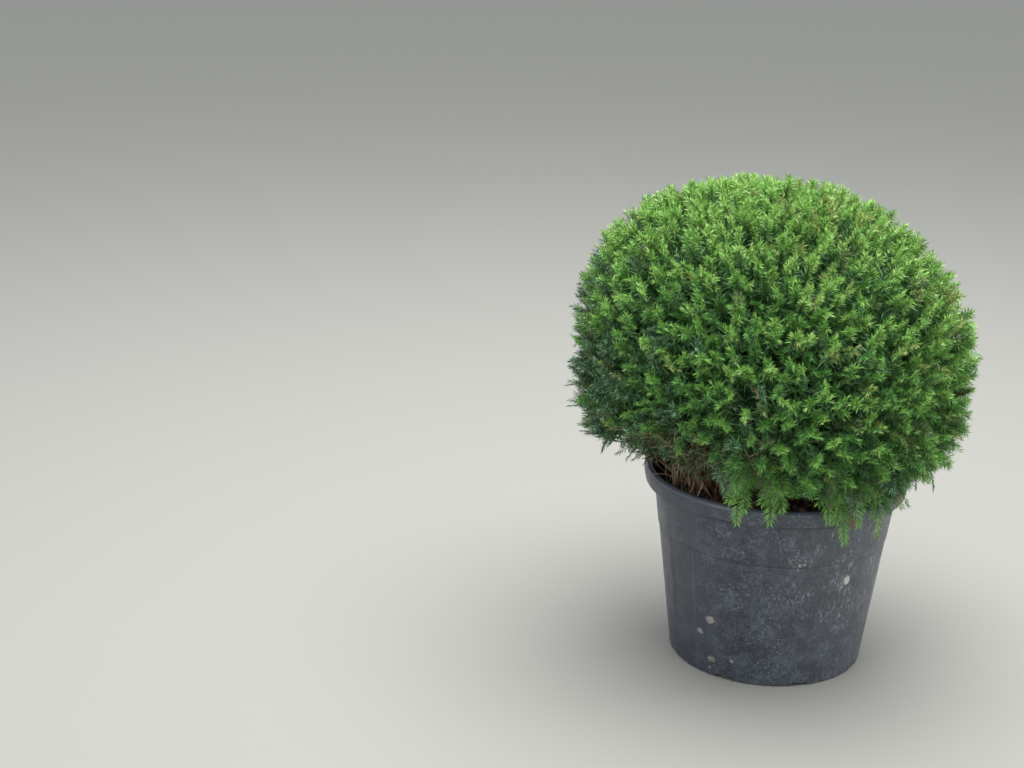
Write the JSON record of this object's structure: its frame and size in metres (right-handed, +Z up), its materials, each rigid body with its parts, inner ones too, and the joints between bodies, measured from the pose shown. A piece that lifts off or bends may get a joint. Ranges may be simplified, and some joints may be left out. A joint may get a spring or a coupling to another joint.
{
  "type": "potted yew ball topiary",
  "caption": "Yew clipped to a dense ball on a short branching trunk, growing in a round tapered nursery pot filled with compost.",
  "frame": {"origin": "centre of the pot's flat underside, which is the middle pad of its floor", "axes": "+Z up, -Y the front, which is the side that the picture shows, +X to the right of that view"},
  "size_m": [0.7906, 0.7869, 0.9877],
  "materials": {
    "pot_plastic": "satin, weathered, pale limescale specks and streaks",
    "compost": "rough, granular, with pale lumps",
    "bark": "rough, flaking, reddish brown",
    "needles": "satin, deep green with yellow-green shoot tips"
  },
  "bodies": {
    "root": {"pot": "pot_plastic", "compost": "compost", "trunk": "bark", "bough_1": "bark", "bough_2": "bark", "bough_3": "bark", "bough_4": "bark", "bough_5": "bark", "bough_6": "bark", "bough_7": "bark", "bough_8": "bark", "bough_9": "bark", "bough_10": "bark", "side_stem_1": "bark", "side_stem_2": "bark", "side_stem_3": "bark", "side_stem_4": "bark", "side_stem_5": "bark", "side_stem_6": "bark", "side_stem_7": "bark", "side_stem_8": "bark", "crown": "needles"}
  },
  "joints": []
}
